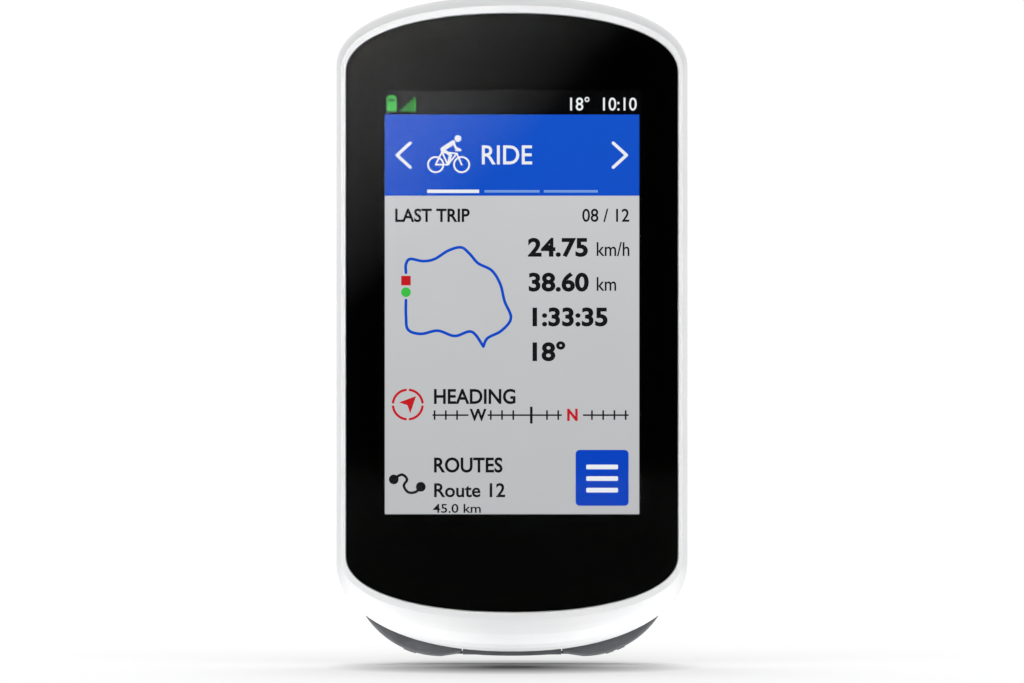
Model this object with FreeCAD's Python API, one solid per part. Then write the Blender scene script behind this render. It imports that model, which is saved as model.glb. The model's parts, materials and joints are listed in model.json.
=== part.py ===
"""Cycling computer: a flat handlebar display with three buttons and a quarter-turn mount on its back.

Millimetres. +Z is up the screen, -Y is the side that the rider sees, +X is the rider's right.
The origin is the middle of the mount puck's end face. Inside the file a place is given as
x, depth behind the glass face, and height above the lowest point of the case.
"""

import FreeCAD, Part
import math
import os

# ---- driving dimensions ----
CASE_WIDTH = 55.8
CASE_HEIGHT = 105.0
CASE_DEPTH = 14.0            # glass face to the flat of the back
PUCK_STANDOFF = 3.6          # puck end face beyond the back
PUCK_HEIGHT = 58.0           # puck centre above the bottom of the case
PARTING_DEPTH = 8.0          # where the bezel meets the rear case
WALL = 1.5
CHIN_BOTTOM = 0.87           # lowest point of the bezel, above the lowest point of the buttons
CHIN_RISE = 14.5             # height of the curved lower end
CROWN_RISE = 11.4            # height of the curved upper end
CAP_POWER = 2.2              # superellipse exponent of both ends

GLASS_HALF_WIDTH = 26.3
GLASS_BOTTOM = 7.3
GLASS_TOP = 102.1
GLASS_THICK = 1.2
MASK_THICK = 0.1
ADHESIVE_THICK = 0.2
LEDGE_DEPTH = GLASS_THICK + MASK_THICK + ADHESIVE_THICK
LEDGE_BACK = 3.0

SCREEN_HALF_WIDTH = 20.15    # lit area
SCREEN_BOTTOM = 22.8
SCREEN_TOP = 89.6

BUTTON_FRONT = 9.0           # depth range of the two lower buttons
BUTTON_BACK = 12.4
BUTTON_TILT = math.radians(17.0)
LOBE_RADIUS = 14.5           # outer arc of a lower button
LOBE_CENTRE_X = 11.3
LOBE_INNER = (8.25, 0.45)    # x and height of a lower button's end next to the port
LOBE_OUTER_X = 23.3
BUTTON_CLEARANCE = 0.12

POWER_HEIGHT = 79.0
SIDE_DEPTH = 10.4            # depth of the switch centres and of the power button

PORT_DEPTH = 10.5            # centre of the charging port
PORT_SHELL = (8.94, 3.2, 7.3)
CAP_HINGE = (12.75, 0.55)    # depth and height of the weather cap's hinge axis

SCREW_PLACES = [(23.6, 22.0), (23.6, 60.0), (15.0, 97.5)]   # mirrored to the left
BOARD_DEPTH = 6.0
BOARD_THICK = 1.0
PORT_BOARD_FRONT = 7.9
BATTERY = (38.0, 5.9, 36.0)  # width, thickness, height
BATTERY_BOTTOM = 19.0

PUCK_NECK_RADIUS = 12.0
PUCK_TAB_RADIUS = 15.2
PUCK_TAB_THICK = 1.5
PUCK_SEAT = 0.6              # the puck's foot sits this deep in the rear case

FRONT_Y = -(CASE_DEPTH + PUCK_STANDOFF)
BOTTOM_Z = -PUCK_HEIGHT
V = FreeCAD.Vector
ALONG_Y = V(0, 1, 0)
ALONG_X = V(1, 0, 0)
ALONG_Z = V(0, 0, 1)

nodes = {}


# ---- helpers ----
def at(x, depth, height):
    return V(x, FRONT_Y + depth, BOTTOM_Z + height)


def block(x0, x1, d0, d1, h0, h1):
    return Part.makeBox(x1 - x0, d1 - d0, h1 - h0, at(x0, d0, h0))


def rod(radius, x, height, d0, d1):
    return Part.makeCylinder(radius, d1 - d0, at(x, d0, height), ALONG_Y)


def ring(outer, inner, x, height, d0, d1):
    return rod(outer, x, height, d0, d1).cut(rod(inner, x, height, d0 - 1, d1 + 1))


def both_sides(shape):
    return [shape, shape.mirror(V(0, 0, 0), ALONG_X)]


def group(shapes):
    return Part.makeCompound([solid for shape in shapes for solid in shape.Solids])


def joined(shapes):
    return shapes[0].multiFuse(shapes[1:]).removeSplitter()


def stadium(width, thick, x, depth, h0, h1):
    """A slot-shaped prism along Z, wide along X."""
    radius = thick / 2
    run = width / 2 - radius
    body = block(x - run, x + run, depth - radius, depth + radius, h0, h1)
    ends = [Part.makeCylinder(radius, h1 - h0, at(x + side * run, depth, h0), ALONG_Z)
            for side in (-1, 1)]
    return joined([body] + ends)


def side_stadium(x0, x1, thick, tall, depth, height):
    """A slot-shaped prism along X, tall along Z."""
    radius = thick / 2
    run = tall / 2 - radius
    body = block(x0, x1, depth - radius, depth + radius, height - run, height + run)
    ends = [Part.makeCylinder(radius, x1 - x0, at(x0, depth, height + side * run), ALONG_X)
            for side in (-1, 1)]
    return joined([body] + ends)


# ---- outlines of the case ----
def outline(half_width, bottom, top, bottom_rise, top_rise):
    return (half_width, bottom, top, bottom_rise, top_rise)


def inset(shape, amount):
    half_width, bottom, top, bottom_rise, top_rise = shape
    return outline(half_width - amount, bottom + amount, top - amount,
                   bottom_rise - amount, top_rise - amount)


def end_curve(depth, half_width, base, rise, first_side, steps=16):
    """Half a superellipse from one side of the case to the other, standing on height base."""
    points = []
    for step in range(steps + 1):
        turn = math.pi * step / steps
        across = math.copysign(abs(math.cos(turn)) ** (2 / CAP_POWER), math.cos(turn))
        along = abs(math.sin(turn)) ** (2 / CAP_POWER)
        points.append(at(first_side * half_width * across, depth, base + rise * along))
    curve = Part.BSplineCurve()
    curve.interpolate(points)
    return curve.toShape()


def case_wire(depth, shape):
    half_width, bottom, top, bottom_rise, top_rise = shape
    low = bottom + bottom_rise
    high = top - top_rise
    right = Part.LineSegment(at(half_width, depth, low), at(half_width, depth, high)).toShape()
    crown = end_curve(depth, half_width, high, top_rise, 1)
    left = Part.LineSegment(at(-half_width, depth, high), at(-half_width, depth, low)).toShape()
    chin = end_curve(depth, half_width, low, -bottom_rise, -1)
    return Part.Wire([right, crown, left, chin])


def slab(shape, d0, d1):
    return Part.Face(case_wire(d0, shape)).extrude(V(0, d1 - d0, 0))


def frame_slab(outer, inner, d0, d1):
    return slab(outer, d0, d1).cut(slab(inner, d0 - 1, d1 + 1))


CASE = outline(CASE_WIDTH / 2, CHIN_BOTTOM, CASE_HEIGHT, CHIN_RISE, CROWN_RISE)
GLASS = outline(GLASS_HALF_WIDTH, GLASS_BOTTOM, GLASS_TOP, 9.05, 9.5)
BEZEL_LIP = outline(27.05, 6.1, 103.3, 9.8, 10.3)
CASE_BACK = outline(25.4, 3.4, 102.4, 12.2, 9.2)
CAVITY = inset(CASE, WALL)
OPENING = inset(GLASS, 1.5)
SEAL_OUTER = inset(CASE, 0.5)
SEAL_INNER = inset(CASE, 1.0)


def between(first, last, share):
    return tuple(a + (b - a) * share for a, b in zip(first, last))


def form(sections):
    return Part.makeLoft([case_wire(depth, shape) for depth, shape in sections], True, True)


def bezel_form():
    """Steep at the glass and nearly straight at the parting line."""
    depths = [0, 0.25, 0.6, 1.0, 1.5, 2.2, 3.1, 4.3, 5.8, PARTING_DEPTH]
    shares = [1 - (1 - depth / PARTING_DEPTH) ** 4.5 for depth in depths]
    return form([(depth, between(BEZEL_LIP, CASE, share)) for depth, share in zip(depths, shares)])


def rear_form():
    """Straight beside the parting line and rounded over to the flat back."""
    run = CASE_DEPTH - PARTING_DEPTH
    depths = [PARTING_DEPTH, 10.6, 11.7, 12.4, 12.9, 13.3, 13.6, 13.85, CASE_DEPTH]
    shares = [((depth - PARTING_DEPTH) / run) ** 8 for depth in depths]
    return form([(depth, between(CASE, CASE_BACK, share)) for depth, share in zip(depths, shares)])


# ---- front: bezel, glass and display ----
POST_RADIUS = 2.1
INSERT_RADIUS = 1.5
INSERT_DEPTH = 5.0


def post_with_web(x, height, d0, d1, radius=POST_RADIUS):
    """A screw post tied to the nearest wall by a flat web."""
    post = rod(radius, x, height, d0, d1)
    reach = 2.9
    if height > 90:
        web = block(x - 1.2, x + 1.2, d0, d1, height, height + reach + 1.5)
    else:
        web = block(x, x + reach + 0.2, d0, d1, height - 1.2, height + 1.2)
    return post.fuse(web)


def make_front_bezel():
    body = bezel_form()
    body = body.cut(slab(inset(GLASS, -0.08), -1, LEDGE_DEPTH))
    body = body.cut(slab(OPENING, LEDGE_DEPTH - 0.5, PARTING_DEPTH + 1))
    body = body.cut(slab(CAVITY, LEDGE_BACK, PARTING_DEPTH + 1))
    for x, height in SCREW_PLACES:
        for post in both_sides(post_with_web(x, height, LEDGE_BACK, PARTING_DEPTH)):
            body = body.fuse(post)
        for hole in both_sides(rod(INSERT_RADIUS, x, height, INSERT_DEPTH - 0.5, PARTING_DEPTH + 1)):
            body = body.cut(hole)
    nodes["front_bezel"] = body


def make_window_stack():
    bevel = 0.25
    rim = Part.makeLoft([case_wire(0, inset(GLASS, bevel)), case_wire(bevel, GLASS)], True, True)
    nodes["cover_glass"] = rim.fuse(slab(GLASS, bevel, GLASS_THICK))
    window = block(-SCREEN_HALF_WIDTH - 0.3, SCREEN_HALF_WIDTH + 0.3, 0, 3,
                   SCREEN_BOTTOM - 0.3, SCREEN_TOP + 0.3)
    nodes["lens_mask"] = slab(inset(GLASS, 0.15), GLASS_THICK, GLASS_THICK + MASK_THICK).cut(window)
    nodes["lens_adhesive"] = frame_slab(inset(GLASS, 0.3), inset(GLASS, 1.4),
                                        GLASS_THICK + MASK_THICK, LEDGE_DEPTH)


PANEL_HALF_WIDTH = 21.4
PANEL_BOTTOM = 19.2
PANEL_TOP = 91.0
PANEL_FRONT = 1.4
PANEL_BACK = 2.8
BACKLIGHT_BACK = 3.8


def make_display():
    nodes["display_panel"] = block(-PANEL_HALF_WIDTH, PANEL_HALF_WIDTH, PANEL_FRONT, PANEL_BACK,
                                   PANEL_BOTTOM, PANEL_TOP)
    light = block(-PANEL_HALF_WIDTH + 0.2, PANEL_HALF_WIDTH - 0.2, PANEL_BACK, BACKLIGHT_BACK,
                  PANEL_BOTTOM + 0.4, PANEL_TOP - 0.4)
    nodes["backlight_unit"] = light
    # the ribbon leaves the panel's upper edge, turns over the chassis and meets the main board
    outer = block(-7, 7, 2.0, BOARD_DEPTH, PANEL_TOP, PANEL_TOP + 1.6)
    inner = block(-8, 8, 2.15, BOARD_DEPTH - 0.15, PANEL_TOP - 1, PANEL_TOP + 1.45)
    tail = block(-7, 7, BOARD_DEPTH - 0.15, BOARD_DEPTH, PANEL_TOP - 7, PANEL_TOP)
    nodes["display_flex"] = joined([outer.cut(inner), tail])


def post_clearance(d0, d1, gap=0.3):
    holes = []
    for x, height in SCREW_PLACES:
        holes += both_sides(post_with_web(x, height, d0, d1, POST_RADIUS + gap))
        if height > 90:
            wide = block(x - 1.2 - gap, x + 1.2 + gap, d0, d1, height, height + 6)
        else:
            wide = block(x, x + 6, d0, d1, height - 1.2 - gap, height + 1.2 + gap)
        holes += both_sides(wide)
    return holes


CHASSIS_FACE = 3.9
CHASSIS_BACK = 4.7
BOARD_SCREW_PLACES = [(18.5, 66.0), (18.5, 88.0)]
PORT_SCREW_PLACE = (17.0, 15.0)


def make_chassis():
    rim = inset(CAVITY, 0.3)
    body = slab(rim, LEDGE_BACK, CHASSIS_BACK)
    body = body.cut(slab(inset(CAVITY, 1.9), LEDGE_BACK - 1, CHASSIS_FACE))
    for hole in post_clearance(LEDGE_BACK - 1, CHASSIS_BACK + 1):
        body = body.cut(hole)
    body = body.cut(block(-7.6, 7.6, LEDGE_BACK - 1, CHASSIS_BACK + 1, PANEL_TOP - 0.2, PANEL_TOP + 2.2))
    for x, height in BOARD_SCREW_PLACES:
        for boss in both_sides(rod(1.8, x, height, CHASSIS_BACK - 0.2, BOARD_DEPTH)):
            body = body.fuse(boss)
        for hole in both_sides(rod(0.62, x, height, CHASSIS_FACE + 0.3, BOARD_DEPTH + 1)):
            body = body.cut(hole)
    nodes["chassis"] = body


# ---- electronics ----
BOARD_BACK = BOARD_DEPTH + BOARD_THICK


def make_main_board():
    board = block(-23, 23, BOARD_DEPTH, BOARD_BACK, 57, 94)
    board = board.fuse(block(-12, 12, BOARD_DEPTH, BOARD_BACK, 94, 100.5)).removeSplitter()
    for hole in post_clearance(BOARD_DEPTH - 1, BOARD_BACK + 1):
        board = board.cut(hole)
    for x, height in BOARD_SCREW_PLACES:
        for hole in both_sides(rod(0.8, x, height, BOARD_DEPTH - 1, BOARD_BACK + 1)):
            board = board.cut(hole)
    nodes["main_board"] = board

    cans = []
    chips = []
    for x, height in [(-8.0, 81.0), (9.0, 81.0)]:
        shell = block(x - 6.5, x + 6.5, BOARD_BACK, BOARD_BACK + 1.8, height - 7, height + 7)
        room = block(x - 6.3, x + 6.3, BOARD_BACK - 1, BOARD_BACK + 1.6, height - 6.8, height + 6.8)
        cans.append(shell.cut(room))
        chips.append(block(x - 4.5, x + 1.5, BOARD_BACK, BOARD_BACK + 1.0, height - 3, height + 3))
        chips.append(block(x + 2.6, x + 5.4, BOARD_BACK, BOARD_BACK + 0.9, height - 4, height + 1))
    nodes["shield_cans"] = group(cans)
    nodes["board_chips"] = group(chips)

    antenna = block(-12, 12, BOARD_BACK, BOARD_BACK + 3.4, 96.4, 100.4)
    nodes["gps_antenna"] = antenna.cut(block(-11, 11, BOARD_BACK - 1, BOARD_BACK + 2.4, 97.4, 99.4))
    nodes["wireless_antenna"] = block(20.6, 22.8, BOARD_BACK, BOARD_BACK + 2.2, 68, 86)
    nodes["beeper"] = ring(4.5, 0.6, 8, 67, BOARD_BACK, BOARD_BACK + 2.4)
    nodes["barometer"] = ring(1.9, 0.5, -14, 67, BOARD_BACK, BOARD_BACK + 1.4)


def make_battery():
    width, thick, tall = BATTERY
    front = CHASSIS_BACK + 0.3
    pack = block(-width / 2, width / 2, front, front + thick, BATTERY_BOTTOM, BATTERY_BOTTOM + tall)
    upright = [edge for edge in pack.Edges
               if edge.BoundBox.ZLength > tall - 1 and edge.BoundBox.YLength < 0.01]
    nodes["battery_pack"] = pack.makeFillet(1.6, upright)
    nodes["battery_pads"] = group(both_sides(block(13, 18, CHASSIS_BACK, front, 22, 52)))
    nodes["battery_connector"] = block(13, 17, BOARD_BACK, BOARD_BACK + 1.6, 58, 61)
    lead = block(13.6, 16.4, front + 2.6, front + 3.2, BATTERY_BOTTOM + tall, 58)
    nodes["battery_lead"] = lead


def make_port_board():
    front = PORT_BOARD_FRONT
    back = front + 1.0
    board = block(-19.5, 19.5, front, back, 9.5, 18).fuse(block(-5.2, 5.2, front, back, 4.2, 9.5))
    board = board.removeSplitter()
    x, height = PORT_SCREW_PLACE
    for hole in both_sides(rod(0.8, x, height, front - 1, back + 1)):
        board = board.cut(hole)
    nodes["port_board"] = board
    # ribbon from the port board, in front of the battery, up to the main board
    low = block(6, 7 + 5, 7.75, front, 14, 18.6)
    rise = block(6, 7 + 5, CHASSIS_BACK + 0.05, front, 18.45, 18.6)
    run = block(6, 7 + 5, CHASSIS_BACK + 0.05, CHASSIS_BACK + 0.2, 18.45, 56.2)
    top = block(6, 7 + 5, CHASSIS_BACK + 0.05, BOARD_DEPTH, 56.05, 56.2)
    tail = block(6, 7 + 5, BOARD_DEPTH - 0.15, BOARD_DEPTH, 56.05, 61)
    nodes["board_flex"] = joined([low, rise, run, top, tail])

    wide, thick, tall = PORT_SHELL
    nose = 3.0
    shell = stadium(wide, thick, 0, PORT_DEPTH, nose, nose + tall)
    room = stadium(wide - 0.6, thick - 0.6, 0, PORT_DEPTH, nose - 1, nose + tall - 1.0)
    nodes["usb_receptacle"] = shell.cut(room)
    nodes["usb_tongue"] = block(-3.35, 3.35, PORT_DEPTH - 0.35, PORT_DEPTH + 0.35, nose + 1.2,
                                nose + tall - 1.0)


def screw(head_radius, head_thick, shank_radius, x, height, head_outer, tip, drive):
    """A screw along Y: its head's outer face at depth head_outer, its point at depth tip."""
    inward = math.copysign(1, tip - head_outer)
    neck = head_outer + inward * head_thick
    head = rod(head_radius, x, height, min(head_outer, neck), max(head_outer, neck))
    shank = rod(shank_radius, x, height, min(neck, tip), max(neck, tip))
    floor = head_outer + inward * head_thick * 0.6
    socket = Part.makePolygon([at(x + drive * math.cos(math.radians(60 * k)), floor,
                                  height + drive * math.sin(math.radians(60 * k)))
                               for k in range(7)])
    cutter = Part.Face(socket).extrude(V(0, -inward * 2, 0))
    return head.fuse(shank).removeSplitter().cut(cutter)


def make_board_screws():
    found = []
    for x, height in BOARD_SCREW_PLACES:
        found += both_sides(screw(1.3, 0.8, 0.58, x, height, BOARD_BACK + 0.8, CHASSIS_FACE + 0.4, 0.5))
    x, height = PORT_SCREW_PLACE
    found += both_sides(screw(1.3, 0.8, 0.58, x, height, PORT_BOARD_FRONT - 0.8, 11.3, 0.5))
    nodes["board_screws"] = group(found)


# ---- lower buttons, power button and their switches ----
def lobe_point(along, inward, depth):
    """A point in a right-hand lower button's own axes: along its length, and inward as it moves."""
    x0, h0 = LOBE_INNER
    cos_tilt = math.cos(BUTTON_TILT)
    sin_tilt = math.sin(BUTTON_TILT)
    return at(x0 + along * cos_tilt - inward * sin_tilt, depth, h0 + along * sin_tilt + inward * cos_tilt)


def tilted_block(a0, a1, q0, q1, d0, d1):
    corners = [lobe_point(a, q, d0) for a, q in [(a0, q0), (a1, q0), (a1, q1), (a0, q1), (a0, q0)]]
    return Part.Face(Part.makePolygon(corners)).extrude(V(0, d1 - d0, 0))


def tilted_rod(radius, along, q0, q1, depth):
    start = lobe_point(along, q0, depth)
    end = lobe_point(along, q1, depth)
    return Part.makeCylinder(radius, (end - start).Length, start, end - start)


LOBE_LENGTH = 16.1
CAP_INNER = 3.3              # where the rubber cap ends and its flange begins
FLANGE_INNER = 4.1
SWITCH_ALONG = 8.0
SWITCH_FACE = 5.3
SWITCH_END = 8.6
BUTTON_TRAVEL = 0.5


def lobe_cap(d0, d1):
    """The rubber cap: a bevelled end, an arc that follows the corner of the case, square inner ends."""
    x0, h0 = LOBE_INNER
    bevel_end = at(LOBE_CENTRE_X, d0, 0)
    middle_turn = math.radians(26)
    middle = at(LOBE_CENTRE_X + LOBE_RADIUS * math.sin(middle_turn), d0,
                LOBE_RADIUS * (1 - math.cos(middle_turn)))
    reach = LOBE_OUTER_X - LOBE_CENTRE_X
    outer_end = at(LOBE_OUTER_X, d0, LOBE_RADIUS - math.sqrt(LOBE_RADIUS ** 2 - reach ** 2))
    arc = Part.Arc(bevel_end, middle, outer_end).toShape()
    start = at(x0, d0, h0)
    inner_far = lobe_point(LOBE_LENGTH, CAP_INNER - 1.4, d0)
    inner_bend = lobe_point(LOBE_LENGTH - 3.2, CAP_INNER, d0)
    inner_near = lobe_point(0, CAP_INNER, d0)
    line = [Part.LineSegment(a, b).toShape() for a, b in
            [(outer_end, inner_far), (inner_far, inner_bend), (inner_bend, inner_near), (inner_near, start)]]
    wire = Part.Wire([Part.LineSegment(start, bevel_end).toShape(), arc] + line)
    return Part.Face(wire).extrude(V(0, d1 - d0, 0))


def make_lower_buttons():
    cap = lobe_cap(BUTTON_FRONT, BUTTON_BACK)
    lower = [edge for edge in cap.Edges
             if edge.BoundBox.YLength < 0.01 and edge.BoundBox.ZMin < BOTTOM_Z + 0.2
             and edge.BoundBox.XLength > 2.5]
    cap = cap.makeFillet(0.5, lower)
    flange = tilted_block(-0.9, 13.6, CAP_INNER, FLANGE_INNER, 8.4, 12.3)
    cap = cap.fuse(flange).removeSplitter()
    plunger = tilted_rod(0.7, SWITCH_ALONG, FLANGE_INNER, SWITCH_FACE + 0.6, SIDE_DEPTH)
    half = 2.2
    housing = tilted_block(SWITCH_ALONG - half, SWITCH_ALONG + half, SWITCH_FACE, SWITCH_END,
                           PORT_BOARD_FRONT + 1.0, 11.9)
    bore = tilted_rod(0.78, SWITCH_ALONG, SWITCH_FACE - 1, SWITCH_FACE + 0.6 + BUTTON_TRAVEL + 0.1,
                      SIDE_DEPTH)
    housing = housing.cut(bore)
    for suffix, shape in [("button", cap), ("plunger", plunger), ("switch", housing)]:
        right, left = both_sides(shape)
        nodes["start_stop_" + suffix] = right
        nodes["lap_" + suffix] = left


def lower_button_window():
    return tilted_block(-BUTTON_CLEARANCE, LOBE_LENGTH + BUTTON_CLEARANCE, -4, 4.5,
                        BUTTON_FRONT - 0.1, BUTTON_BACK + 0.1)


POWER_OUTER = -27.95
POWER_TALL = 9.0
POWER_THICK = 3.0


def make_power_button():
    cap = side_stadium(POWER_OUTER, -25.6, POWER_THICK, POWER_TALL, SIDE_DEPTH, POWER_HEIGHT)
    outer = [edge for edge in cap.Edges if edge.BoundBox.XMax < POWER_OUTER + 0.01]
    cap = cap.makeFillet(0.25, outer)
    flange = side_stadium(-25.6, -25.0, POWER_THICK + 1.0, POWER_TALL + 1.4, SIDE_DEPTH, POWER_HEIGHT)
    nodes["power_button"] = cap.fuse(flange).removeSplitter()
    face = -23.9
    start = at(-25.0, SIDE_DEPTH, POWER_HEIGHT)
    nodes["power_plunger"] = Part.makeCylinder(0.7, -25.0 * -1 + face + 0.6, start, ALONG_X)
    housing = block(face, face + 3.2, BOARD_BACK, 11.9, POWER_HEIGHT - 2.4, POWER_HEIGHT + 2.4)
    bore = Part.makeCylinder(0.78, 2.3, at(face - 1, SIDE_DEPTH, POWER_HEIGHT), ALONG_X)
    nodes["power_switch"] = housing.cut(bore)


def power_button_window():
    return side_stadium(-30, -25.7, POWER_THICK + 0.2, POWER_TALL + 0.2, SIDE_DEPTH, POWER_HEIGHT)


# ---- weather cap over the charging port ----
CAP_HALF_WIDTH = 7.98         # at its lower corners, beside the buttons
CAP_FRONT = 9.0
CAP_TOP = 1.5
CAP_CORNER = 0.43            # height of the lower corners
CAP_SAG = 0.08               # height of the lowest line, in the middle
PIN_HALF_LENGTH = 8.5
PIN_RADIUS = 0.18


def cap_block(d0, d1):
    """A bowed strip whose ends lean like the ends of the buttons beside it."""
    top_half_width = CAP_HALF_WIDTH - math.tan(BUTTON_TILT) * (CAP_TOP - CAP_CORNER)
    left = at(-CAP_HALF_WIDTH, d0, CAP_CORNER)
    right = at(CAP_HALF_WIDTH, d0, CAP_CORNER)
    arc = Part.Arc(left, at(0, d0, CAP_SAG), right).toShape()
    corners = [right, at(top_half_width, d0, CAP_TOP), at(-top_half_width, d0, CAP_TOP), left]
    sides = [Part.LineSegment(a, b).toShape() for a, b in zip(corners, corners[1:])]
    return Part.Face(Part.Wire([arc] + sides)).extrude(V(0, d1 - d0, 0))


def hinge_rod(radius, half_length):
    depth, height = CAP_HINGE
    return Part.makeCylinder(radius, 2 * half_length, at(-half_length, depth, height), ALONG_X)


def make_weather_cap():
    depth, height = CAP_HINGE
    knuckle_radius = 0.42
    body = cap_block(CAP_FRONT, depth)
    body = body.cut(block(-9, 9, depth - 0.35, depth + 1, height + knuckle_radius, CAP_TOP + 1))
    plug = stadium(7.4, 1.5, 0, PORT_DEPTH, CAP_TOP - 0.2, CAP_TOP + 0.8)
    thumb_lip = block(-2.5, 2.5, CAP_FRONT - 0.1, CAP_FRONT + 0.1, 0.2, 0.7)
    body = joined([body, plug, hinge_rod(knuckle_radius, CAP_HALF_WIDTH - 0.1), thumb_lip])
    nodes["weather_cap"] = body.cut(hinge_rod(PIN_RADIUS + 0.04, CAP_HALF_WIDTH + 1))
    nodes["weather_cap_pin"] = hinge_rod(PIN_RADIUS, PIN_HALF_LENGTH)


def weather_cap_recess():
    depth = CAP_HINGE[0]
    reach = CAP_HALF_WIDTH + 0.12
    pocket = block(-reach, reach, CAP_FRONT - 0.35, depth + 0.55, -1, CAP_TOP + 0.12)
    port = stadium(9.3, 3.5, 0, PORT_DEPTH, 0, 11)
    return [pocket, port]


def hinge_ears():
    """Two lugs of the rear case that hold the ends of the cap's pin."""
    inner = CAP_HALF_WIDTH + 0.04
    return both_sides(block(inner, inner + 0.7, BUTTON_BACK + 0.1, 13.15, 0.25, 2.2))


# ---- rear case, fasteners and seal ----
HEAD_RADIUS = 1.9
HEAD_SEAT = 12.7
VENT_PLACE = (-14.0, 90.0)


def make_rear_case():
    back_inner = CASE_DEPTH - WALL
    body = rear_form().cut(slab(CAVITY, PARTING_DEPTH - 1, back_inner))
    body = body.cut(frame_slab(SEAL_OUTER, SEAL_INNER, PARTING_DEPTH - 1, PARTING_DEPTH + 0.6))
    for x, height in SCREW_PLACES:
        for post in both_sides(post_with_web(x, height, PARTING_DEPTH, back_inner + 0.5)):
            body = body.fuse(post)
        for hole in both_sides(rod(HEAD_RADIUS + 0.1, x, height, HEAD_SEAT, CASE_DEPTH + 1)):
            body = body.cut(hole)
        for hole in both_sides(rod(1.15, x, height, PARTING_DEPTH - 1, HEAD_SEAT + 1)):
            body = body.cut(hole)
    x, height = PORT_SCREW_PLACE
    for boss in both_sides(rod(1.8, x, height, PORT_BOARD_FRONT + 1.0, back_inner + 0.2)):
        body = body.fuse(boss)
    for hole in both_sides(rod(0.62, x, height, PORT_BOARD_FRONT, 11.5)):
        body = body.cut(hole)
    # thicker floor and round seat under the puck
    body = body.fuse(rod(PUCK_NECK_RADIUS + 1.5, 0, PUCK_HEIGHT, 11.6, back_inner + 0.2))
    body = body.cut(rod(PUCK_NECK_RADIUS + 0.1, 0, PUCK_HEIGHT, CASE_DEPTH - PUCK_SEAT, CASE_DEPTH + 1))
    for x, height in puck_screw_places():
        body = body.cut(rod(0.62, x, height, 11.9, CASE_DEPTH))
    body = body.cut(contact_slot(11, CASE_DEPTH))
    for window in both_sides(lower_button_window()):
        body = body.cut(window)
    body = body.cut(power_button_window())
    for cutter in weather_cap_recess():
        body = body.cut(cutter)
    for ear in hinge_ears():
        body = body.fuse(ear)
    body = body.cut(hinge_rod(PIN_RADIUS, PIN_HALF_LENGTH))
    x, height = VENT_PLACE
    for turn in range(6):
        angle = math.radians(60 * turn)
        body = body.cut(rod(0.35, x + 1.2 * math.cos(angle), height + 1.2 * math.sin(angle), 12, 15))
    nodes["rear_case"] = body
    nodes["vent_membrane"] = rod(2.6, x, height, back_inner - 0.2, back_inner)


def make_case_fasteners():
    screws = []
    inserts = []
    for x, height in SCREW_PLACES:
        screws += both_sides(screw(HEAD_RADIUS, 1.0, 0.95, x, height, HEAD_SEAT + 1.0,
                                   INSERT_DEPTH + 0.2, 0.9))
        inserts += both_sides(ring(INSERT_RADIUS, 1.0, x, height, INSERT_DEPTH, PARTING_DEPTH - 0.05))
    nodes["case_screws"] = group(screws)
    nodes["threaded_inserts"] = group(inserts)


def make_case_seal():
    nodes["case_seal"] = frame_slab(inset(SEAL_OUTER, 0.04), inset(SEAL_INNER, -0.04),
                                    PARTING_DEPTH, PARTING_DEPTH + 0.6)


# ---- quarter-turn puck and its contacts ----
CONTACT_DROP = 6.2           # the row of contacts is this far under the puck's centre
CONTACT_PITCH = 1.9
CONTACT_COUNT = 5


def puck_screw_places():
    reach = 9.6
    angles = [math.radians(45 + 90 * k) for k in range(4)]
    return [(reach * math.cos(a), PUCK_HEIGHT + reach * math.sin(a)) for a in angles]


def contact_slot(d0, d1, grow=0.0):
    half_width = CONTACT_PITCH * CONTACT_COUNT / 2 + 0.1 + grow
    height = PUCK_HEIGHT - CONTACT_DROP
    return block(-half_width, half_width, d0, d1, height - 1.3 - grow, height + 1.3 + grow)


def make_mount_puck():
    end = CASE_DEPTH + PUCK_STANDOFF
    neck = rod(PUCK_NECK_RADIUS, 0, PUCK_HEIGHT, CASE_DEPTH - PUCK_SEAT, end)
    tab_disc = rod(PUCK_TAB_RADIUS, 0, PUCK_HEIGHT, end - PUCK_TAB_THICK - 0.1, end - 0.1)
    half_tab = 7.5
    keep = block(-20, 20, 10, 20, PUCK_HEIGHT - half_tab, PUCK_HEIGHT + half_tab)
    body = neck.fuse(tab_disc.common(keep)).removeSplitter()
    for x, height in puck_screw_places():
        body = body.cut(rod(1.7, x, height, end - 1.0, end + 1))
        body = body.cut(rod(0.9, x, height, CASE_DEPTH - 1, end))
    body = body.cut(contact_slot(CASE_DEPTH - 1, end + 1, 0.05))
    # locating notches in the rim, one in each tab
    for side in (-1, 1):
        body = body.cut(rod(0.9, side * PUCK_TAB_RADIUS, PUCK_HEIGHT, 10, 20))
    nodes["mount_puck"] = body
    screws = [screw(1.6, 0.8, 0.58, x, height, end - 0.15, 12.0, 0.7) for x, height in puck_screw_places()]
    nodes["puck_screws"] = group(screws)


def make_contacts():
    end = CASE_DEPTH + PUCK_STANDOFF
    height = PUCK_HEIGHT - CONTACT_DROP
    carrier = contact_slot(11.2, end - 0.6)
    pins = []
    for index in range(CONTACT_COUNT):
        x = (index - (CONTACT_COUNT - 1) / 2) * CONTACT_PITCH
        pins.append(rod(0.75, x, height, end - 1.4, end - 0.4).fuse(rod(0.35, x, height, 11.2, end - 1.4)))
        carrier = carrier.cut(rod(0.75, x, height, end - 1.4, end))
        carrier = carrier.cut(rod(0.35, x, height, 10, end - 1.4))
    nodes["contact_carrier"] = carrier
    nodes["contact_pins"] = group(pins)
    # ribbon from the contacts up to the main board
    run = block(-5, 5, 11.05, 11.2, height - 1.5, 57.6)
    drop = block(-5, 5, BOARD_BACK, 11.2, 57.45, 57.6)
    nodes["contact_flex"] = joined([run, drop])


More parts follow.
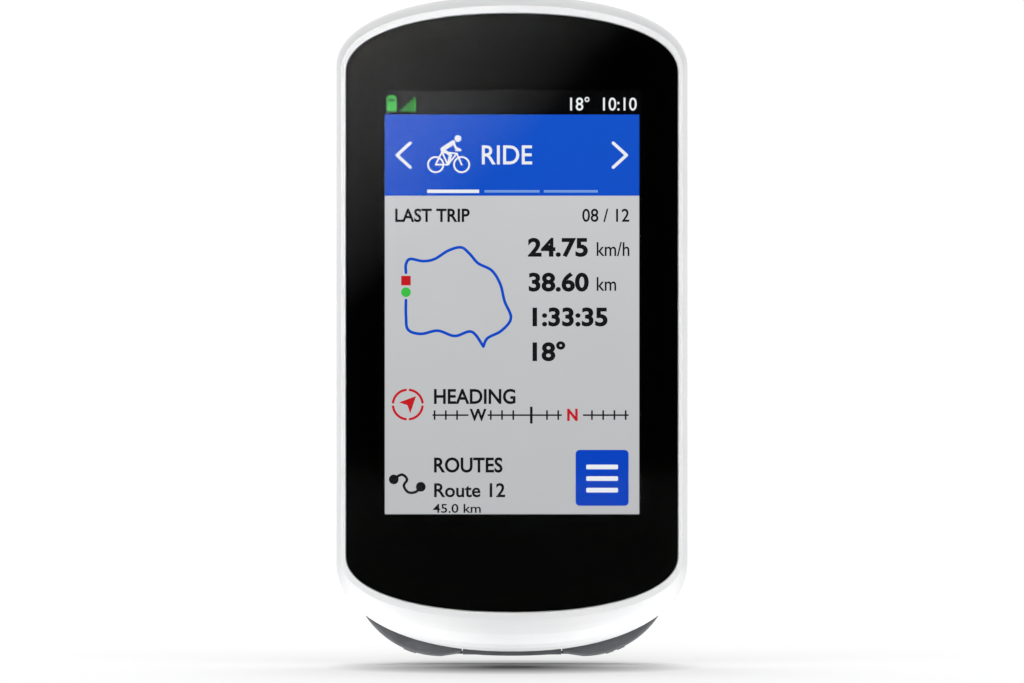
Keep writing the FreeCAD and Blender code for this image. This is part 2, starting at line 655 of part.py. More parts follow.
def make_all():
    make_front_bezel()
    make_window_stack()
    make_display()
    make_chassis()
    make_main_board()
    make_battery()
    make_port_board()
    make_board_screws()
    make_lower_buttons()
    make_power_button()
    make_weather_cap()
    make_rear_case()
    make_case_fasteners()
    make_case_seal()
    make_mount_puck()
    make_contacts()


def save_all():
    os.makedirs("parts", exist_ok=True)
    for name, shape in sorted(nodes.items()):
        shape.exportStep(os.path.join("parts", name + ".step"))
        print(f"{name}: {len(shape.Solids)} solids, {shape.Volume:.1f} mm3, valid {shape.isValid()}")


make_all()
save_all()
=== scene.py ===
"""Cycling computer: lit screen contents, detail pieces, materials, light and camera round the CAD frame."""

import json
import math

import bmesh
import bpy
from mathutils import Matrix, Vector


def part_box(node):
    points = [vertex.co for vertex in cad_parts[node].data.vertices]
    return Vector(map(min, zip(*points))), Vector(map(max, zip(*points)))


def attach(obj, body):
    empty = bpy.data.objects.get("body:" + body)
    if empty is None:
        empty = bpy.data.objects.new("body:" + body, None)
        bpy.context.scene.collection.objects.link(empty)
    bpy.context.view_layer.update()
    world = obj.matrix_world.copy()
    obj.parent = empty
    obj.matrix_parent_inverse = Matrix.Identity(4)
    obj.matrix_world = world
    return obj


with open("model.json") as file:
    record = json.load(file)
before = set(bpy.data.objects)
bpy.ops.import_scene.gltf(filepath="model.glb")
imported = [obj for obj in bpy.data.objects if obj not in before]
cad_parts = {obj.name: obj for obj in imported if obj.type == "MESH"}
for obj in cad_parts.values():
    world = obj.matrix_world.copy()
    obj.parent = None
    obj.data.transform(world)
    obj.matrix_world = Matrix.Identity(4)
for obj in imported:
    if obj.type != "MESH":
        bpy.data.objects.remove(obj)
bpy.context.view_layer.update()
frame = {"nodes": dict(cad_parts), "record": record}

MM = 0.001
NODES = frame["nodes"]


# ---- places read from the frame ----
glass_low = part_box("cover_glass")[0]
panel_low, panel_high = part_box("display_panel")
whole_low = Vector((min(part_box(n)[0].x for n in NODES), min(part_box(n)[0].y for n in NODES),
                    min(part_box(n)[0].z for n in NODES)))

SCREEN_WIDTH = 40.3 * MM
SCREEN_HEIGHT = 66.8 * MM
UNITS_ACROSS = 240.0
UNITS_DOWN = 400.0
SCREEN_TOP = panel_high.z - 1.4 * MM
UNIT = SCREEN_WIDTH / UNITS_ACROSS
UNIT_DOWN = SCREEN_HEIGHT / UNITS_DOWN
LAYER = 0.02 * MM
HIDDEN_RIM = 2.5                   # dots of the dark background that lie behind the printed border
SCREEN_FACE = panel_low.y          # the layers of the picture lie on the panel's front face


def screen(u, v):
    """A place on the screen: u dots from its left edge, v dots from its top."""
    return ((u - UNITS_ACROSS / 2) * UNIT, SCREEN_TOP - v * UNIT_DOWN)


# ---- node helpers ----
def new_material(name):
    material = bpy.data.materials.new(name)
    material.use_nodes = True
    tree = material.node_tree
    shader = tree.nodes["Principled BSDF"]
    return material, tree, shader


def add(tree, kind, **values):
    node = tree.nodes.new(kind)
    for key, value in values.items():
        if hasattr(node, key):
            setattr(node, key, value)
        else:
            node.inputs[key.replace("_", " ")].default_value = value
    return node


def noise_ramp(tree, scale, low, high, detail=4.0, rough=0.55):
    """A noise and a ramp that runs it between two colours."""
    place = add(tree, "ShaderNodeTexCoord")
    noise = tree.nodes.new("ShaderNodeTexNoise")
    noise.inputs["Scale"].default_value = scale
    noise.inputs["Detail"].default_value = detail
    noise.inputs["Roughness"].default_value = rough
    tree.links.new(place.outputs["Object"], noise.inputs["Vector"])
    ramp = tree.nodes.new("ShaderNodeValToRGB")
    ramp.color_ramp.elements[0].position = 0.35
    ramp.color_ramp.elements[1].position = 0.65
    ramp.color_ramp.elements[0].color = low if len(low) == 4 else (*low, 1)
    ramp.color_ramp.elements[1].color = high if len(high) == 4 else (*high, 1)
    tree.links.new(noise.outputs["Fac"], ramp.inputs["Fac"])
    return noise, ramp


def grey(value):
    return (value, value, value)


def bump(tree, shader, height_socket, strength, distance):
    node = tree.nodes.new("ShaderNodeBump")
    node.inputs["Strength"].default_value = strength
    node.inputs["Distance"].default_value = distance
    tree.links.new(height_socket, node.inputs["Height"])
    tree.links.new(node.outputs["Normal"], shader.inputs["Normal"])


def surface(name, low, high, rough_low, rough_high, colour_scale=400.0, grain_scale=3500.0,
            grain=0.15, metallic=0.0, coat=0.0, coat_rough=0.1, specular=0.5, sheen=0.0):
    """A moulded or finished surface: slow colour drift, finer roughness drift and a grain."""
    material, tree, shader = new_material(name)
    colours = noise_ramp(tree, colour_scale, low, high)[1]
    tree.links.new(colours.outputs["Color"], shader.inputs["Base Color"])
    roughness = noise_ramp(tree, colour_scale * 2.3, grey(rough_low), grey(rough_high))[1]
    tree.links.new(roughness.outputs["Color"], shader.inputs["Roughness"])
    grains, unused = noise_ramp(tree, grain_scale, grey(0), grey(1), detail=2.0)
    tree.nodes.remove(unused)
    bump(tree, shader, grains.outputs["Fac"], grain, 0.00004)
    shader.inputs["Metallic"].default_value = metallic
    shader.inputs["Coat Weight"].default_value = coat
    shader.inputs["Coat Roughness"].default_value = coat_rough
    shader.inputs["Specular IOR Level"].default_value = specular
    shader.inputs["Sheen Weight"].default_value = sheen
    return material


def brushed(name, low, high, rough, stretch=(1.0, 1.0, 14.0)):
    """Metal with fine directional lines."""
    material, tree, shader = new_material(name)
    place = add(tree, "ShaderNodeTexCoord")
    mapping = tree.nodes.new("ShaderNodeMapping")
    mapping.inputs["Scale"].default_value = stretch
    noise = tree.nodes.new("ShaderNodeTexNoise")
    noise.inputs["Scale"].default_value = 900.0
    tree.links.new(place.outputs["Object"], mapping.inputs["Vector"])
    tree.links.new(mapping.outputs["Vector"], noise.inputs["Vector"])
    ramp = tree.nodes.new("ShaderNodeValToRGB")
    ramp.color_ramp.elements[0].color = (*low, 1)
    ramp.color_ramp.elements[1].color = (*high, 1)
    tree.links.new(noise.outputs["Fac"], ramp.inputs["Fac"])
    tree.links.new(ramp.outputs["Color"], shader.inputs["Base Color"])
    bump(tree, shader, noise.outputs["Fac"], 0.2, 0.00003)
    shader.inputs["Metallic"].default_value = 1.0
    shader.inputs["Roughness"].default_value = rough
    return material


def glass_material():
    """Clear cover glass, coated against glare, with faint smears in its polish."""
    material, tree, shader = new_material("clear_glass")
    colours = noise_ramp(tree, 60.0, (0.97, 0.98, 0.98), (1.0, 1.0, 1.0))[1]
    tree.links.new(colours.outputs["Color"], shader.inputs["Base Color"])
    roughness = noise_ramp(tree, 45.0, grey(0.0), grey(0.03))[1]
    tree.links.new(roughness.outputs["Color"], shader.inputs["Roughness"])
    shader.inputs["Transmission Weight"].default_value = 1.0
    shader.inputs["IOR"].default_value = 1.1
    return material


def lit(name, upper, lower=None):
    """A lit part of the picture: its colour runs down the screen, crossed by a fine dot grid."""
    lower = lower or upper
    material, tree, shader = new_material(name)
    place = add(tree, "ShaderNodeTexCoord")
    split = tree.nodes.new("ShaderNodeSeparateXYZ")
    tree.links.new(place.outputs["Object"], split.inputs["Vector"])
    span = tree.nodes.new("ShaderNodeMapRange")
    span.inputs["From Min"].default_value = SCREEN_TOP
    span.inputs["From Max"].default_value = SCREEN_TOP - SCREEN_HEIGHT
    tree.links.new(split.outputs["Z"], span.inputs["Value"])
    ramp = tree.nodes.new("ShaderNodeValToRGB")
    ramp.color_ramp.elements[0].color = (*upper, 1)
    ramp.color_ramp.elements[1].color = (*lower, 1)
    tree.links.new(span.outputs["Result"], ramp.inputs["Fac"])
    grid = tree.nodes.new("ShaderNodeTexBrick")
    grid.offset = 0.0
    grid.inputs["Scale"].default_value = 1.0 / UNIT
    grid.inputs["Mortar Size"].default_value = 0.08
    grid.inputs["Brick Width"].default_value = 1.0
    grid.inputs["Row Height"].default_value = 1.0
    grid.inputs["Color1"].default_value = (1, 1, 1, 1)
    grid.inputs["Color2"].default_value = (0.985, 0.985, 0.985, 1)
    grid.inputs["Mortar"].default_value = (0.93, 0.93, 0.93, 1)
    flat = tree.nodes.new("ShaderNodeCombineXYZ")
    tree.links.new(split.outputs["X"], flat.inputs["X"])
    tree.links.new(split.outputs["Z"], flat.inputs["Y"])
    tree.links.new(flat.outputs["Vector"], grid.inputs["Vector"])
    mix = tree.nodes.new("ShaderNodeMix")
    mix.data_type = "RGBA"
    mix.blend_type = "MULTIPLY"
    mix.inputs["Factor"].default_value = 1.0
    tree.links.new(ramp.outputs["Color"], mix.inputs["A"])
    tree.links.new(grid.outputs["Color"], mix.inputs["B"])
    tree.links.new(mix.outputs["Result"], shader.inputs["Emission Color"])
    shader.inputs["Emission Strength"].default_value = 1.0
    shader.inputs["Base Color"].default_value = (0.001, 0.001, 0.001, 1)
    shader.inputs["Roughness"].default_value = 0.6
    shader.inputs["Specular IOR Level"].default_value = 0.0
    return material


def srgb(red, green, blue):
    """Display values 0 to 255 as linear light."""
    def linear(value):
        share = value / 255
        return share / 12.92 if share <= 0.04045 else ((share + 0.055) / 1.055) ** 2.4
    return tuple(linear(v) for v in (red, green, blue))


# ---- materials of the carried nodes ----
WHITE_SHELL = surface("white_shell_finish", srgb(206, 207, 208), srgb(212, 212, 213), 0.30, 0.38,
                      colour_scale=60.0, grain=0.05, coat=0.25, coat_rough=0.18)
DARK_SHELL = surface("dark_shell_finish", srgb(38, 39, 42), srgb(43, 44, 47), 0.5, 0.6,
                     colour_scale=900.0, grain_scale=2600.0, grain=0.6)
RUBBER = surface("button_rubber_finish", srgb(80, 81, 84), srgb(94, 95, 98), 0.62, 0.78,
                 colour_scale=200.0, grain_scale=3200.0, grain=0.5, sheen=0.15, specular=0.35)
RUBBER_SIGN = surface("button_sign_finish", srgb(104, 105, 108), srgb(120, 121, 124), 0.55, 0.7,
                      colour_scale=200.0, grain_scale=3200.0, grain=0.4, specular=0.4)
SEAL = surface("seal_finish", srgb(30, 30, 32), srgb(40, 40, 42), 0.6, 0.8)
BLACK_PRINT = surface("black_print_finish", srgb(3, 3, 4), srgb(6, 6, 7), 0.5, 0.6, grain=0.02,
                      specular=0.1)
ADHESIVE = surface("adhesive_finish", srgb(24, 24, 26), srgb(34, 34, 36), 0.4, 0.6)
PANEL = surface("panel_finish", srgb(10, 10, 12), srgb(16, 16, 18), 0.3, 0.4, specular=0.2)
DIFFUSER = surface("diffuser_finish", srgb(225, 228, 232), srgb(240, 242, 245), 0.4, 0.5)
CAST = surface("cast_frame_finish", srgb(170, 172, 176), srgb(192, 194, 198), 0.4, 0.55, metallic=0.9,
               grain=0.4)
CHIP = surface("chip_finish", srgb(24, 24, 26), srgb(34, 34, 36), 0.5, 0.65)
FLEX = surface("flex_film_finish", srgb(176, 112, 36), srgb(196, 132, 52), 0.3, 0.42, coat=0.3)
ANTENNA = surface("antenna_finish", srgb(128, 128, 130), srgb(148, 148, 150), 0.5, 0.6)
FOIL = surface("pouch_finish", srgb(168, 170, 174), srgb(196, 198, 202), 0.28, 0.42, metallic=0.8)
FOAM = surface("foam_finish", srgb(50, 50, 52), srgb(72, 72, 74), 0.85, 0.95, grain=0.9)
STEEL = brushed("steel_finish", srgb(84, 85, 88), srgb(118, 119, 122), 0.34)
BRASS = brushed("brass_finish", srgb(190, 150, 80), srgb(222, 184, 112), 0.3)
GOLD = brushed("gold_finish", srgb(226, 176, 84), srgb(250, 206, 120), 0.22)
GLASS = glass_material()


def board_material():
    """Green solder mask with copper tracks showing through it."""
    material, tree, shader = new_material("board_finish")
    place = add(tree, "ShaderNodeTexCoord")
    tracks = tree.nodes.new("ShaderNodeTexBrick")
    tracks.inputs["Scale"].default_value = 450.0
    tracks.inputs["Mortar Size"].default_value = 0.05
    tracks.inputs["Color1"].default_value = (*srgb(14, 74, 44), 1)
    tracks.inputs["Color2"].default_value = (*srgb(18, 86, 50), 1)
    tracks.inputs["Mortar"].default_value = (*srgb(48, 128, 82), 1)
    turn = tree.nodes.new("ShaderNodeMapping")
    turn.inputs["Rotation"].default_value = (math.radians(90), 0, 0)
    tree.links.new(place.outputs["Object"], turn.inputs["Vector"])
    tree.links.new(turn.outputs["Vector"], tracks.inputs["Vector"])
    tree.links.new(tracks.outputs["Color"], shader.inputs["Base Color"])
    shader.inputs["Roughness"].default_value = 0.35
    return material


BOARD = board_material()

FINISH_OF_SLOT = {
    "white_shell": WHITE_SHELL, "cover_glass": GLASS, "black_print": BLACK_PRINT,
    "clear_adhesive": ADHESIVE, "display": PANEL, "backlight": DIFFUSER, "dark_shell": DARK_SHELL,
    "button_rubber": RUBBER, "seal_rubber": SEAL, "frame_metal": CAST, "board": BOARD, "chip": CHIP,
    "flex_film": FLEX, "antenna_plastic": ANTENNA, "battery_pouch": FOIL, "foam_tape": FOAM,
    "fastener_steel": STEEL, "insert_brass": BRASS, "contact_gold": GOLD,
}


def dress_nodes():
    slots = {part["node"]: part["material_slot"] for part in frame["record"]["subparts"]}
    for name, obj in NODES.items():
        finish = FINISH_OF_SLOT[slots[name]]
        if not obj.material_slots:
            obj.data.materials.append(finish)
        for place in obj.material_slots:
            place.material = finish


# ---- screen contents ----
LIGHT = lit("screen_white", srgb(238, 240, 242))
PALE = lit("screen_pale", srgb(206, 207, 209), srgb(190, 191, 193))
BLUE = lit("screen_blue", srgb(20, 84, 204), srgb(6, 64, 190))
FAINT = lit("screen_faint_blue", srgb(118, 156, 224))
INK = lit("screen_ink", srgb(22, 22, 25))
GREEN = lit("screen_green", srgb(62, 190, 72))
RED = lit("screen_red", srgb(196, 30, 36))
NIGHT = lit("screen_black", srgb(3, 3, 4))


def screen_piece(name, mesh, material):
    obj = bpy.data.objects.new(name, mesh)
    bpy.context.scene.collection.objects.link(obj)
    mesh.materials.clear()
    mesh.materials.append(material)
    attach(obj, "case")
    return obj


def layer_front(level):
    """The front face of a picture layer; higher levels lie nearer the glass."""
    return SCREEN_FACE - (level + 1) * LAYER


def prism_mesh(name, loops, level):
    """Flat closed shapes, each a list of screen places, as one thin solid mesh."""
    work = bmesh.new()
    front = layer_front(level)
    for loop in loops:
        corners = []
        for u, v in loop:
            x, z = screen(u, v)
            corners.append(work.verts.new((x, front, z)))
        face = work.faces.new(corners)
        back = bmesh.ops.extrude_face_region(work, geom=[face])
        moved = [item for item in back["geom"] if isinstance(item, bmesh.types.BMVert)]
        bmesh.ops.translate(work, verts=moved, vec=(0, LAYER * 0.9, 0))
    bmesh.ops.recalc_face_normals(work, faces=work.faces)
    mesh = bpy.data.meshes.new(name)
    work.to_mesh(mesh)
    work.free()
    return mesh


def shapes(name, loops, level, material):
    return screen_piece(name, prism_mesh(name, loops, level), material)


def bar(u0, v0, u1, v1):
    return [(u0, v0), (u0, v1), (u1, v1), (u1, v0)]


def rounded(u0, v0, u1, v1, radius, steps=8):
    points = []
    for cu, cv, start in [(u1 - radius, v0 + radius, -90), (u1 - radius, v1 - radius, 0),
                          (u0 + radius, v1 - radius, 90), (u0 + radius, v0 + radius, 180)]:
        for step in range(steps + 1):
            angle = math.radians(start + 90 * step / steps)
            points.append((cu + radius * math.cos(angle), cv + radius * math.sin(angle)))
    return points


def disc(u, v, radius, steps=40):
    return [(u + radius * math.cos(2 * math.pi * k / steps), v + radius * math.sin(2 * math.pi * k / steps))
            for k in range(steps)]


def arc_points(u, v, radius, start, end, steps=24):
    return [(u + radius * math.cos(math.radians(start + (end - start) * k / steps)),
             v + radius * math.sin(math.radians(start + (end - start) * k / steps)))
            for k in range(steps + 1)]


def smooth_path(points, steps=10):
    """A Catmull-Rom curve through the points, its ends held."""
    line = []
    padded = [points[0]] + points + [points[-1]]
    for p0, p1, p2, p3 in zip(padded, padded[1:], padded[2:], padded[3:]):
        for step in range(steps):
            t = step / steps
            line.append(tuple(0.5 * (2 * b + (c - a) * t + (2 * a - 5 * b + 4 * c - d) * t ** 2
                                     + (3 * b - a - 3 * c + d) * t ** 3)
                              for a, b, c, d in zip(p0, p1, p2, p3)))
    return line + [points[-1]]


def stroke(points, width):
    """Quads along a path and a disc at each of its points, so that corners are round."""
    loops = []
    for (u0, v0), (u1, v1) in zip(points, points[1:]):
        length = math.hypot(u1 - u0, v1 - v0)
        if length < 0.01:
            continue
        nu = -(v1 - v0) / length * width / 2
        nv = (u1 - u0) / length * width / 2
        loops.append([(u0 + nu, v0 + nv), (u1 + nu, v1 + nv), (u1 - nu, v1 - nv), (u0 - nu, v0 - nv)])
    loops += [disc(u, v, width / 2, 12) for u, v in points]
    return loops


def words(name, text, u, baseline, cap_height, material, level, align="LEFT", weight=0.0, squeeze=0.92):
    """A line of plain lettering on the screen; cap_height and weight are in screen dots."""
    curve = bpy.data.curves.new(name, "FONT")
    curve.body = text
    curve.align_x = align
    curve.size = 1.0
    curve.resolution_u = 4
    probe = bpy.data.objects.new(name + "_probe", curve)
    cap_share = 0.72
    half_thick = LAYER * 0.45
    size = cap_height * UNIT_DOWN / cap_share
    curve.offset = weight * UNIT / size
    curve.extrude = half_thick / size
    bpy.context.scene.collection.objects.link(probe)
    bpy.context.view_layer.update()
    mesh = bpy.data.meshes.new_from_object(probe.evaluated_get(bpy.context.evaluated_depsgraph_get()))
    bpy.data.objects.remove(probe)
    x, z = screen(u, baseline)
    stand = Matrix(((size * squeeze, 0, 0, x), (0, 0, -size, layer_front(level) + half_thick),
                    (0, size, 0, z), (0, 0, 0, 1)))
    mesh.transform(stand)
    mesh.name = name
    return screen_piece(name, mesh, material)


def status_bar():
    shapes("status_background", [bar(-HIDDEN_RIM, -HIDDEN_RIM, UNITS_ACROSS + HIDDEN_RIM,
                                   UNITS_DOWN + HIDDEN_RIM)], 0, NIGHT)
    shapes("battery_sign", [rounded(2, 4, 11, 18, 1.5), bar(4, 2.6, 9, 4)], 1, GREEN)
    shapes("battery_sign_hollow", [bar(4, 6, 9, 8.5)], 2, NIGHT)
    steps = [bar(15 + 3.1 * k, 16 - 2.8 * k, 16.6 + 3.1 * k, 18) for k in range(5)]
    shapes("signal_sign", steps, 1, GREEN)
    words("status_readout", "18°  10:10", 238, 17, 12.5, LIGHT, 1, align="RIGHT", weight=0.15)


def bicycle_sign(left, top):
    """A rider on a bicycle, drawn with plain strokes."""
    wheel = 7.2
    rear = (left + 8.5, top + 28)
    front = (left + 33, top + 28)
    loops = []
    for centre in (rear, front):
        loops += stroke(arc_points(*centre, wheel, 0, 360, 36), 1.7)
    seat = (left + 14.5, top + 16)
    pedal = (left + 20, top + 28)
    head = (left + 28.5, top + 17.5)
    frame_lines = [[rear, pedal, head, seat, pedal], [rear, seat], [head, front],
                   [(head[0] - 1, head[1] - 3), (head[0] + 3.5, head[1] - 3)]]
    for line in frame_lines:
        loops += stroke(line, 1.6)
    hip = (left + 15, top + 13.5)
    shoulder = (left + 25, top + 7)
    loops += stroke([hip, shoulder], 4.2)
    loops += stroke([shoulder, (left + 27.5, top + 12), (left + 31.5, top + 14)], 2.2)
    loops += stroke([hip, (left + 22.5, top + 19), (left + 20.5, top + 27)], 2.8)
    loops.append(disc(left + 29.5, top + 3.2, 3.2, 24))
    return loops


def header():
    shapes("header_band", [bar(0, 21, 240, 98)], 1, BLUE)
    shapes("header_arrow_left", stroke([(24, 48), (11.5, 59.5), (24, 71)], 3.0), 2, LIGHT)
    shapes("header_arrow_right", stroke([(215.5, 48), (228, 59.5), (215.5, 71)], 3.0), 2, LIGHT)
    shapes("header_rider", bicycle_sign(39.5, 40.5), 2, LIGHT)
    words("header_word", "RIDE", 90, 68, 18.5, LIGHT, 2, weight=0.25)
    shapes("header_tab_on", [bar(40, 92.2, 89, 95.4)], 2, LIGHT)
    shapes("header_tabs_off", [bar(94, 92.6, 146, 95), bar(150, 92.6, 201, 95)], 2, FAINT)


def trip_block():
    shapes("page_background", [bar(0, 98, 240, 400)], 1, PALE)
    words("trip_word", "LAST TRIP", 9, 122.5, 12.5, INK, 2, weight=0.4)
    words("trip_number", "08 / 12", 231, 122.5, 12.5, INK, 2, align="RIGHT", weight=0.2)
    lines = [("24.75", "km/h", 155), ("38.60", "km", 188), ("1:33:35", "", 221), ("18°", "", 254)]
    for index, (value, unit, baseline) in enumerate(lines):
        words(f"trip_value_{index + 1}", value, 135, baseline, 17, INK, 2, weight=0.8,
              squeeze=1.1)
        if unit:
            words(f"trip_unit_{index + 1}", unit, 199, baseline, 13.5, INK, 2, weight=0.15, squeeze=0.86)
    upper = [(20, 171), (20, 163), (24, 158), (36, 160), (47, 158), (60, 150), (72, 147),
             (80, 153), (88, 162), (101, 169), (109, 182), (113, 198), (119, 214), (110, 226),
             (97, 233), (93, 241)]
    lower = [(93, 241), (82, 227), (66, 231), (50, 226), (34, 229), (22, 225), (20, 212), (20, 197)]
    shapes("route_line", stroke(smooth_path(upper) + smooth_path(lower), 2.7), 2, BLUE)
    shapes("route_start", [disc(20, 189.5, 4.6)], 3, GREEN)
    shapes("route_end", [bar(15.5, 174, 24.5, 183)], 3, RED)


def compass_block():
    centre = (21.7, 296)
    ring = []
    for k in range(4):
        ring += stroke(arc_points(*centre, 14, 90 * k + 8, 90 * k + 82, 12), 2.3)
    shapes("compass_ring", ring, 2, RED)
    shapes("compass_arrow", [[(29.5, 288), (24, 304.5), (21.4, 296.6)],
                             [(29.5, 288), (21.4, 296.6), (13.4, 294)]], 2, RED)
    words("compass_word", "HEADING", 45.5, 295, 14, INK, 2, weight=0.45)
    spacing = 10.6
    ticks = []
    for k in range(18):
        u = 47 + spacing * k
        if min(abs(u - 88), abs(u - 177), abs(u - 138)) > 10.5:
            ticks.append(bar(u - 0.8, 301.5, u + 0.8, 310.5))
    ticks += [bar(45, 305.3, 79, 306.8), bar(97, 305.3, 167, 306.8), bar(187, 305.3, 230, 306.8)]
    ticks.append(bar(137, 298, 139.4, 314))
    shapes("compass_scale", ticks, 2, INK)
    words("compass_west", "W", 88, 311, 11, INK, 2, align="CENTER", weight=0.5)
    words("compass_north", "N", 177, 311, 11, RED, 2, align="CENTER", weight=0.6)


def route_block():
    words("routes_word", "ROUTES", 45.5, 360, 14, INK, 2, weight=0.45)
    words("route_number", "Route 12", 45.5, 383.5, 13.2, INK, 2, weight=0.35, squeeze=1.0)
    words("route_length", "45.0 km", 45.5, 398.5, 8.5, INK, 2, weight=0.15, squeeze=1.2)
    path = smooth_path([(8, 367), (16, 362.5), (21, 367), (18, 373), (22, 379), (29, 379), (34, 374)])
    shapes("course_sign", stroke(path, 2.5) + [disc(8.5, 367, 4.6), disc(34, 374, 4.6)], 2, INK)
    shapes("menu_button", [rounded(180, 339, 230, 392, 4)], 2, BLUE)
    shapes("menu_lines", [rounded(190, v, 220, v + 4.4, 1) for v in (353, 364, 375)], 3, LIGHT)


# ---- raised signs on the lower buttons ----
SIGN_PROUD = 0.12 * MM
LOBE_RADIUS = 14.5 * MM
LOBE_CENTRE_X = 11.3 * MM


def lobe_place(side, around, across, lift):
    """A place on a lower button: distance round its arc, distance along Y from its middle, height off it."""
    low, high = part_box("start_stop_button")
    angle = around / LOBE_RADIUS
    radius = LOBE_RADIUS + lift
    middle_y = glass_low.y + 10.7 * MM
    x = LOBE_CENTRE_X + radius * math.sin(angle)
    z = low.z + LOBE_RADIUS - radius * math.cos(angle) - 0.02 * MM
    return Vector((side * x, middle_y + across, z))


def raised_sign(name, side, body, loops):
    """Flat shapes in millimetres, wrapped on to a lower button's arc and standing proud of it."""
    work = bmesh.new()
    for loop in loops:
        rings = []
        for lift in (-SIGN_PROUD, SIGN_PROUD):
            rings.append([work.verts.new(lobe_place(side, (5.2 + side * a) * MM, b * MM, lift))
                          for a, b in loop])
        work.faces.new(rings[0])
        work.faces.new(list(reversed(rings[1])))
        count = len(loop)
        for k in range(count):
            work.faces.new([rings[0][k], rings[1][k], rings[1][(k + 1) % count], rings[0][(k + 1) % count]])
    bmesh.ops.recalc_face_normals(work, faces=work.faces)
    mesh = bpy.data.meshes.new(name)
    work.to_mesh(mesh)
    work.free()
    mesh.materials.append(RUBBER_SIGN)
    obj = bpy.data.objects.new(name, mesh)
    bpy.context.scene.collection.objects.link(obj)
    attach(obj, body)


def stroke_quads(points, width):
    """The quads of a path, without its round joints."""
    return [loop for loop in stroke(points, width) if len(loop) == 4]


def button_signs():
    turn = stroke_quads(arc_points(0, 0, 0.85, 50, 330, 14), 0.3)
    head = [[(0.35, -0.75), (1.15, -0.95), (1.0, -0.05)]]
    raised_sign("lap_sign", -1, "lap_button_body", turn + head)
    play = [[(-1.5, -0.8), (-1.5, 0.8), (-0.2, 0.0)]]
    stop = [[(0.4, -0.7), (1.7, -0.7), (1.7, 0.7), (0.4, 0.7)]]
    raised_sign("start_stop_sign", 1, "start_stop_button_body", play + stop)


# ---- stage, light and camera ----
PICTURE_WIDTH = 162.5088 * MM      # what the picture spans at the object
CAMERA_DISTANCE = 1.3
CAMERA_ABOVE_BOTTOM = 50.15 * MM
SENSOR = 36.0
FLOOR_HALF = 6.0
FLOOR_DROP = 1.2 * MM              # the object hangs this far above the floor
SHADOW_HALF_WIDTH = 30 * MM
SHADOW_HALF_DEPTH = 30 * MM
SHADOW_PLACE = -21 * MM            # the painted shadow's middle, along Y
CARD_HALF = 1.5
CARD_BEHIND_CAMERA = 0.5


def ranged(tree, socket, from_low, from_high, to_low, to_high):
    node = tree.nodes.new("ShaderNodeMapRange")
    for key, value in [("From Min", from_low), ("From Max", from_high), ("To Min", to_low),
                       ("To Max", to_high)]:
        node.inputs[key].default_value = value
    tree.links.new(socket, node.inputs["Value"])
    return node.outputs["Result"]


def floor_material():
    """Matt white, with a shadow painted in: a soft dark ellipse under the object."""
    material, tree, shader = new_material("floor_white")
    place = add(tree, "ShaderNodeTexCoord")
    scaled = add(tree, "ShaderNodeVectorMath", operation="MULTIPLY_ADD")
    scaled.inputs[1].default_value = (1 / SHADOW_HALF_WIDTH, 1 / SHADOW_HALF_DEPTH, 0)
    scaled.inputs[2].default_value = (0, -SHADOW_PLACE / SHADOW_HALF_DEPTH, 0)
    tree.links.new(place.outputs["Object"], scaled.inputs[0])
    reach = add(tree, "ShaderNodeVectorMath", operation="LENGTH")
    tree.links.new(scaled.outputs["Vector"], reach.inputs[0])
    grey_level = ranged(tree, reach.outputs["Value"], 0.1, 1.0, 0.08, 0.88)
    tree.links.new(grey_level, shader.inputs["Base Color"])
    shader.inputs["Roughness"].default_value = 0.9
    shader.inputs["Specular IOR Level"].default_value = 0.0
    return material


def quad(name, corners, material):
    mesh = bpy.data.meshes.new(name)
    mesh.from_pydata(corners, [], [tuple(range(len(corners)))])
    mesh.materials.append(material)
    obj = bpy.data.objects.new(name, mesh)
    bpy.context.scene.collection.objects.link(obj)
    return obj


def card_material():
    """Glow that rises to the upper left and fades far out: the cover glass mirrors it."""
    material, tree, shader = new_material("reflection_card_finish")
    place = add(tree, "ShaderNodeTexCoord")
    split = tree.nodes.new("ShaderNodeSeparateXYZ")
    tree.links.new(place.outputs["Object"], split.inputs["Vector"])
    slant = add(tree, "ShaderNodeMath", operation="MULTIPLY_ADD")
    slant.inputs[1].default_value = -1.0
    tree.links.new(split.outputs["X"], slant.inputs[0])
    tree.links.new(split.outputs["Z"], slant.inputs[2])
    glow = ranged(tree, slant.outputs["Value"], 0.063, 0.183, 0.0, 24.0)
    flat = tree.nodes.new("ShaderNodeCombineXYZ")
    tree.links.new(split.outputs["X"], flat.inputs["X"])
    tree.links.new(split.outputs["Z"], flat.inputs["Z"])
    reach = add(tree, "ShaderNodeVectorMath", operation="LENGTH")
    tree.links.new(flat.outputs["Vector"], reach.inputs[0])
    near = ranged(tree, reach.outputs["Value"], 0.2, 0.4, 1.0, 0.0)
    total = add(tree, "ShaderNodeMath", operation="MULTIPLY_ADD")
    tree.links.new(glow, total.inputs[0])
    tree.links.new(near, total.inputs[1])
    total.inputs[2].default_value = 0.2
    tree.links.new(total.outputs["Value"], shader.inputs["Emission Strength"])
    shader.inputs["Emission Color"].default_value = (1, 1, 1, 1)
    shader.inputs["Base Color"].default_value = (0, 0, 0, 1)
    shader.inputs["Specular IOR Level"].default_value = 0.0
    return material


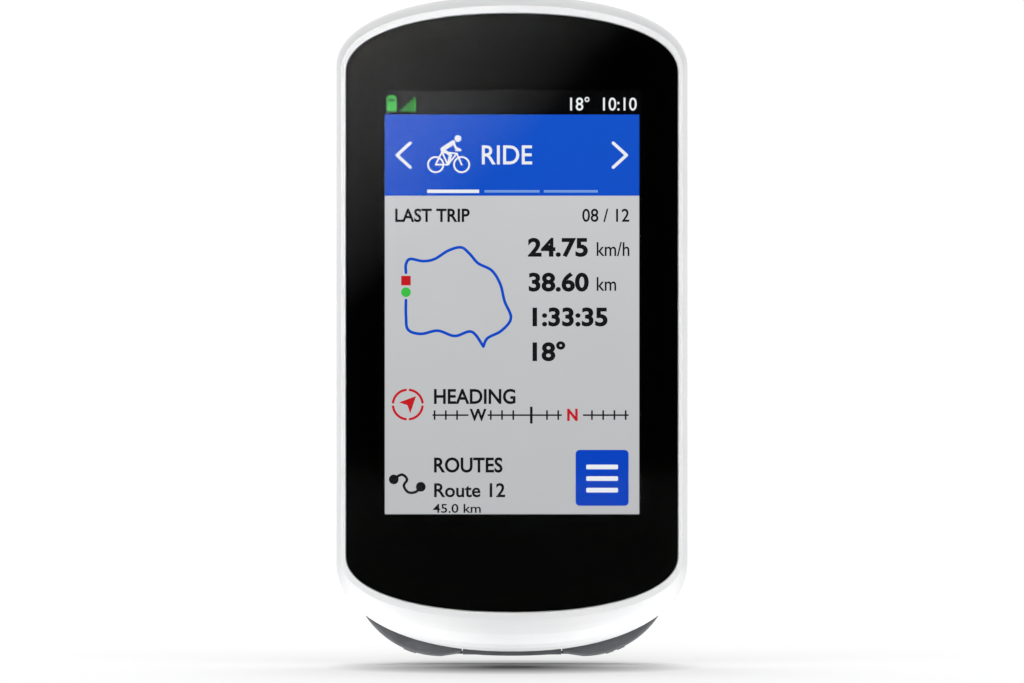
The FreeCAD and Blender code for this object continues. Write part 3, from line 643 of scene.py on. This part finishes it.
def build_stage():
    """The floor, and a card behind the camera that only reflections see. Returns the floor."""
    floor_z = whole_low.z - FLOOR_DROP
    floor = quad("floor", [(-FLOOR_HALF, -FLOOR_HALF, floor_z), (FLOOR_HALF, -FLOOR_HALF, floor_z),
                           (FLOOR_HALF, FLOOR_HALF, floor_z), (-FLOOR_HALF, FLOOR_HALF, floor_z)],
                 floor_material())
    floor.visible_shadow = False
    card_y = -CAMERA_DISTANCE - CARD_BEHIND_CAMERA
    card_z = whole_low.z
    card = quad("reflection_card", [(-CARD_HALF, card_y, card_z), (-CARD_HALF, card_y, CARD_HALF),
                                    (CARD_HALF, card_y, CARD_HALF), (CARD_HALF, card_y, card_z)],
                card_material())
    card.visible_camera = False
    return floor


def area_light(name, place, target, size, power):
    data = bpy.data.lights.new(name, "AREA")
    data.shape = "RECTANGLE"
    data.size, data.size_y = size
    data.energy = power
    obj = bpy.data.objects.new(name, data)
    obj.location = place
    obj.rotation_euler = (Vector(target) - Vector(place)).to_track_quat("-Z", "Y").to_euler()
    bpy.context.scene.collection.objects.link(obj)


def build_light(floor):
    """An even white studio. The sun reaches only the floor, and under_chin lifts the lower bezel."""
    world = bpy.data.worlds.new("studio")
    world.use_nodes = True
    background = world.node_tree.nodes["Background"]
    background.inputs["Color"].default_value = (1, 1, 1, 1)
    background.inputs["Strength"].default_value = 1.03
    bpy.context.scene.world = world
    area_light("key", (-0.5, -0.7, 0.75), (0, 0, 0), (0.6, 0.6), 0.2)
    area_light("fill", (0.8, -0.5, 0.3), (0, 0, 0), (0.6, 0.9), 0.15)
    area_light("under_chin", (0, -0.05, -0.2), (0, -0.01, -0.05), (0.2, 0.06), 0.36)
    sun = bpy.data.lights.new("sun", "SUN")
    sun.energy = 0.6
    sun.angle = math.radians(35)
    high = bpy.data.objects.new("sun", sun)
    high.rotation_euler = (math.radians(-25), 0, 0)
    bpy.context.scene.collection.objects.link(high)
    lit_by_sun = bpy.data.collections.new("lit_by_sun")
    lit_by_sun.objects.link(floor)
    high.light_linking.receiver_collection = lit_by_sun
    bpy.context.scene.view_settings.view_transform = "Standard"


def build_camera():
    data = bpy.data.cameras.new("camera")
    data.sensor_width = SENSOR
    data.lens = SENSOR * CAMERA_DISTANCE / PICTURE_WIDTH
    data.clip_start = 0.01
    data.clip_end = 100
    camera = bpy.data.objects.new("camera", data)
    middle_y = (glass_low.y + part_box("rear_case")[0].y) / 2
    camera.location = (0, middle_y - CAMERA_DISTANCE, whole_low.z + CAMERA_ABOVE_BOTTOM)
    camera.rotation_euler = (math.radians(90), 0, 0)
    bpy.context.scene.collection.objects.link(camera)
    bpy.context.scene.camera = camera


build_camera()
build_light(build_stage())
dress_nodes()
status_bar()
header()
trip_block()
compass_block()
route_block()
button_signs()
